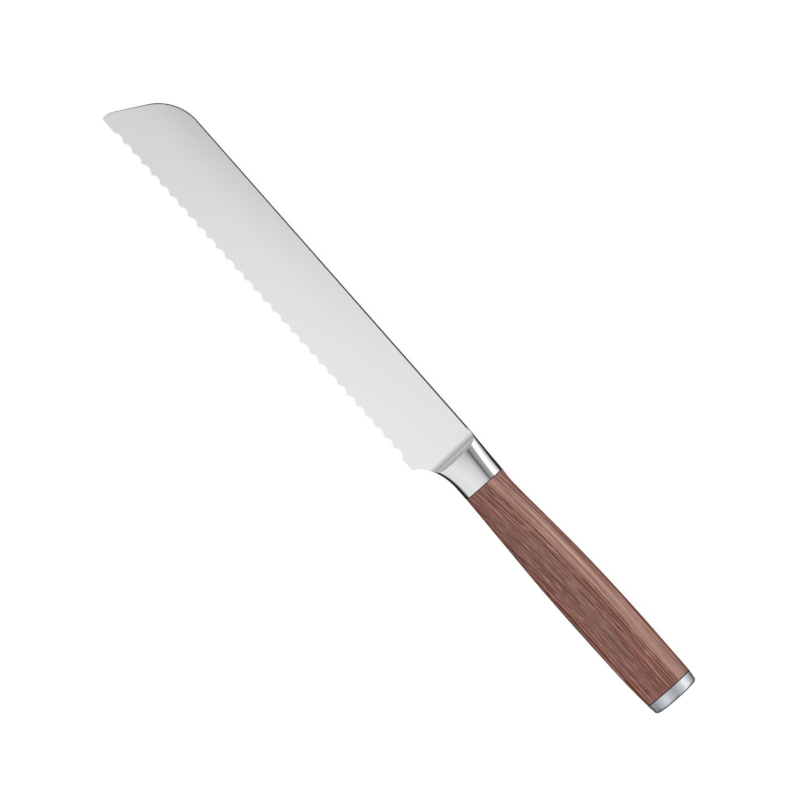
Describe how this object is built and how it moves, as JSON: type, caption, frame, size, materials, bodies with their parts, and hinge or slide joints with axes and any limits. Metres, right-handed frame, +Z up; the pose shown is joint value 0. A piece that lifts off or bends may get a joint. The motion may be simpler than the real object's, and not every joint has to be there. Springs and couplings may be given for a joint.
{
  "type": "bread knife",
  "caption": "Forged bread knife with a scalloped blade, an integral bolster, a one-piece wooden grip on a hidden tang and a steel end cap.",
  "frame": {"origin": "under the middle of the knife's box, on the surface it lies on", "axes": "knife on its right side: +X from tip to butt, +Y from edge to spine, +Z up out of the blade's left face"},
  "size_m": [0.3358, 0.0314, 0.0195],
  "materials": {
    "blade_steel": "satin ground blade, mirror-polished bolster",
    "black_fibre": "vulcanised fibre, trimmed flush",
    "walnut_brown_wood": "resin-filled hardwood, sanded, oiled satin",
    "cured_epoxy": "cast in place",
    "plated_steel": "zinc plated",
    "cap_steel": "brushed lengthways"
  },
  "bodies": {
    "root": {"forged_blade": "blade_steel", "front_spacer": "black_fibre", "handle": "walnut_brown_wood", "tang_bedding": "cured_epoxy", "tang_washer": "plated_steel", "tang_nut": "plated_steel", "rear_spacer": "black_fibre", "end_cap": "cap_steel", "cap_pins": "plated_steel"}
  },
  "joints": []
}
